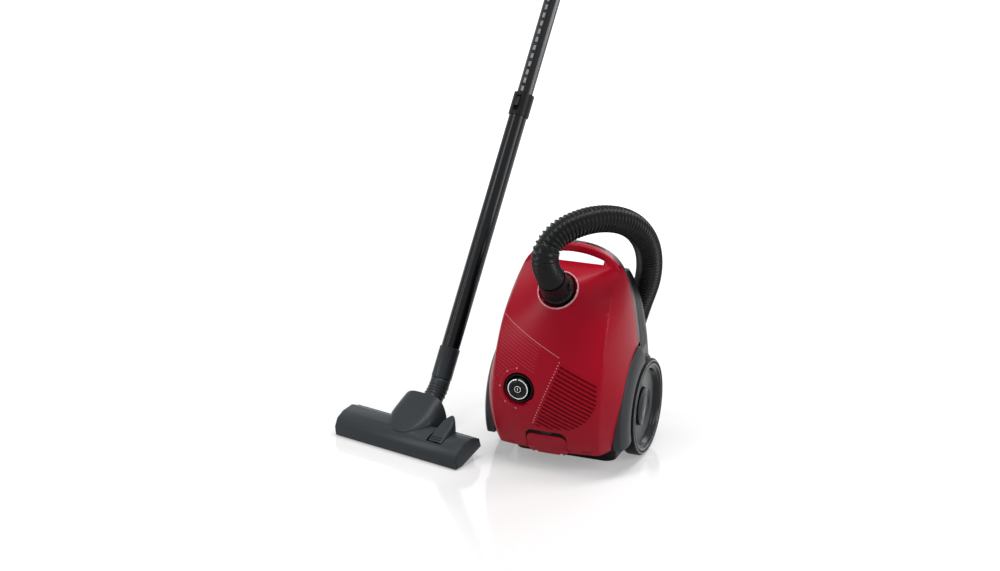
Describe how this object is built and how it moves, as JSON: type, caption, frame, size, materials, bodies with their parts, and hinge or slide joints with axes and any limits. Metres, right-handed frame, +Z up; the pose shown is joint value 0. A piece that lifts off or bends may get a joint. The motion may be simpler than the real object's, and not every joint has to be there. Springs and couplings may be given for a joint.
{
  "type": "canister vacuum cleaner",
  "caption": "Upright-parked canister vacuum with a hinged dust lid, ribbed hose, large rear wheels, a floor nozzle with pedal and a telescopic wand.",
  "frame": {"origin": "on the floor under the canister, on the flat foot of its tail tray", "axes": "+Z up, -Y out of the red lid, +X to the right seen from the front of the lid"},
  "size_m": [0.5256, 0.9106, 0.7775],
  "materials": {
    "red": "gloss",
    "frame_grey": "satin",
    "shell_black": "satin",
    "tyre_black": "matte",
    "rim_grey": "satin",
    "steel": "brushed",
    "silver": "polished",
    "ring_pale": "gloss",
    "seal": "matte",
    "hose_black": "satin",
    "nozzle_grey": "satin",
    "wand_black": "gloss lacquer",
    "motor_iron": "matte",
    "inner_grey": "matte",
    "paper": "matte",
    "foam": "matte",
    "board": "matte",
    "bristle": "matte",
    "aluminium_fan": "matte"
  },
  "bodies": {
    "canister": {"chassis_frame": "frame_grey", "base_shell": "shell_black", "exhaust_grille": "shell_black", "exhaust_filter": "foam", "right_fender": "frame_grey", "left_fender": "frame_grey", "wheel_axles": "steel", "control_turret": "shell_black", "control_board": "board", "motor_housing": "inner_grey", "motor_core": "motor_iron", "reel_axle": "steel", "cord_outlet": "seal", "chamber_shelf": "inner_grey", "motor_filter": "foam", "bag_holder": "inner_grey", "dust_bag": "paper", "casing_screws": "steel", "lid_seal": "seal", "suction_hose": "hose_black", "grip_cuff": "shell_black", "hose_grip": "nozzle_grey"},
    "lid": {"dust_lid": "red", "lid_hinge_pin": "steel", "latch_pin": "steel", "inlet_ring": "ring_pale", "inlet_seal": "seal"},
    "latch": {"lid_latch": "red"},
    "cuff": {"hose_cuff": "shell_black"},
    "cuff_button": {"cuff_release_button": "shell_black"},
    "knob": {"control_knob": "shell_black", "knob_ring": "silver"},
    "power_button": {"power_button": "shell_black"},
    "right_wheel": {"right_wheel_rim": "rim_grey", "right_wheel_tyre": "tyre_black", "right_wheel_cap": "rim_grey"},
    "left_wheel": {"left_wheel_rim": "rim_grey", "left_wheel_tyre": "tyre_black", "left_wheel_cap": "rim_grey"},
    "fan": {"fan_impeller": "aluminium_fan"},
    "reel": {"cord_reel": "inner_grey"},
    "caster": {"caster_fork": "shell_black", "caster_axle": "steel"},
    "caster_roller": {"caster_roller": "tyre_black"},
    "air_slider": {"grip_air_slider": "shell_black"},
    "nozzle": {"nozzle_cover": "nozzle_grey", "nozzle_sole": "shell_black", "pedal_pin": "steel"},
    "pedal": {"mode_pedal": "nozzle_grey"},
    "brush": {"brush_strip": "bristle"},
    "nozzle_rollers": {"nozzle_rollers": "tyre_black"},
    "neck": {"nozzle_neck": "nozzle_grey"},
    "wand": {"outer_tube": "wand_black", "wand_sleeve": "nozzle_grey", "lock_collar": "shell_black"},
    "inner_tube": {"inner_tube": "wand_black"},
    "wand_lock": {"lock_slider": "shell_black"}
  },
  "joints": [
    {"name": "lid_hinge", "type": "hinge", "parent": "canister", "child": "lid", "pos_m": [0, 0.03, 0.358], "axis": [-1, 0, 0], "range_deg": [0, 70], "deforming": ["suction_hose"]},
    {"name": "latch_hinge", "type": "hinge", "parent": "lid", "child": "latch", "pos_m": [0, -0.088, 0.044], "axis": [1, 0, 0], "range_deg": [0, 15], "stiffness_Nm_per_rad": 0.2},
    {"name": "cuff_swivel", "type": "hinge", "parent": "lid", "child": "cuff", "pos_m": [0, -0.057, 0.311], "axis": [0, -0.7431, 0.6691], "continuous": true},
    {"name": "cuff_button_press", "type": "slide", "parent": "cuff", "child": "cuff_button", "axis": [-1, 0, 0], "range_m": [0, 0.002], "stiffness_N_per_m": 400},
    {"name": "knob_turn", "type": "hinge", "parent": "canister", "child": "knob", "pos_m": [-0.0465, -0.1, 0.146], "axis": [0, -1, 0], "range_deg": [0, 180]},
    {"name": "power_button_press", "type": "slide", "parent": "knob", "child": "power_button", "axis": [0, 1, 0], "range_m": [0, 0.0025], "stiffness_N_per_m": 500},
    {"name": "right_wheel_spin", "type": "hinge", "parent": "canister", "child": "right_wheel", "pos_m": [0.116, 0.045, 0.0826], "axis": [1, 0, 0], "continuous": true},
    {"name": "left_wheel_spin", "type": "hinge", "parent": "canister", "child": "left_wheel", "pos_m": [-0.116, 0.045, 0.0826], "axis": [1, 0, 0], "continuous": true},
    {"name": "fan_spin", "type": "hinge", "parent": "canister", "child": "fan", "pos_m": [0.04, 0, 0.088], "axis": [0, 1, 0], "continuous": true},
    {"name": "reel_spin", "type": "hinge", "parent": "canister", "child": "reel", "pos_m": [-0.042, 0.063, 0.08], "axis": [0, 1, 0], "continuous": true},
    {"name": "caster_swivel", "type": "hinge", "parent": "canister", "child": "caster", "pos_m": [0, 0.082, 0.264], "axis": [0, 1, 0], "continuous": true},
    {"name": "caster_roll", "type": "hinge", "parent": "caster", "child": "caster_roller", "pos_m": [0, 0.1142, 0.255], "axis": [1, 0, 0], "continuous": true},
    {"name": "air_slide", "type": "slide", "parent": "canister", "child": "air_slider", "axis": [-0.6865, 0.7272, 0], "range_m": [0, 0.011]},
    {"name": "nozzle_stand_off", "type": "slide", "parent": "canister", "child": "nozzle", "axis": [-1, 0, 0], "range_m": [0, 0.3]},
    {"name": "pedal_press", "type": "hinge", "parent": "nozzle", "child": "pedal", "pos_m": [-0.18695, -0.10756, 0.018], "axis": [-0.9728, 0.2317, 0], "range_deg": [0, 3], "stiffness_Nm_per_rad": 3},
    {"name": "brush_lift", "type": "slide", "parent": "nozzle", "child": "brush", "axis": [0, 0, 1], "range_m": [0, 0.003]},
    {"name": "roller_spin", "type": "hinge", "parent": "nozzle", "child": "nozzle_rollers", "pos_m": [-0.25307, -0.06148, 0.008], "axis": [0.9728, -0.2317, 0], "continuous": true},
    {"name": "neck_tilt", "type": "hinge", "parent": "nozzle", "child": "neck", "pos_m": [-0.25272, -0.06003, 0.034], "axis": [0.9728, -0.2317, 0], "range_deg": [-22, 0]},
    {"name": "wand_swivel", "type": "hinge", "parent": "neck", "child": "wand", "pos_m": [-0.23338, 0.02118, 0.10598], "axis": [0.1124, 0.4716, 0.8746], "continuous": true},
    {"name": "telescope", "type": "slide", "parent": "wand", "child": "inner_tube", "axis": [0.1124, 0.4716, 0.8746], "range_m": [-0.19, 0.04]},
    {"name": "wand_lock_press", "type": "slide", "parent": "wand", "child": "wand_lock", "axis": [-0.1124, -0.4716, -0.8746], "range_m": [0, 0.005], "stiffness_N_per_m": 500}
  ],
  "couplings": [
    {"joint": "brush_lift", "follows": "pedal_press", "m_per_rad": 0.05729}
  ]
}
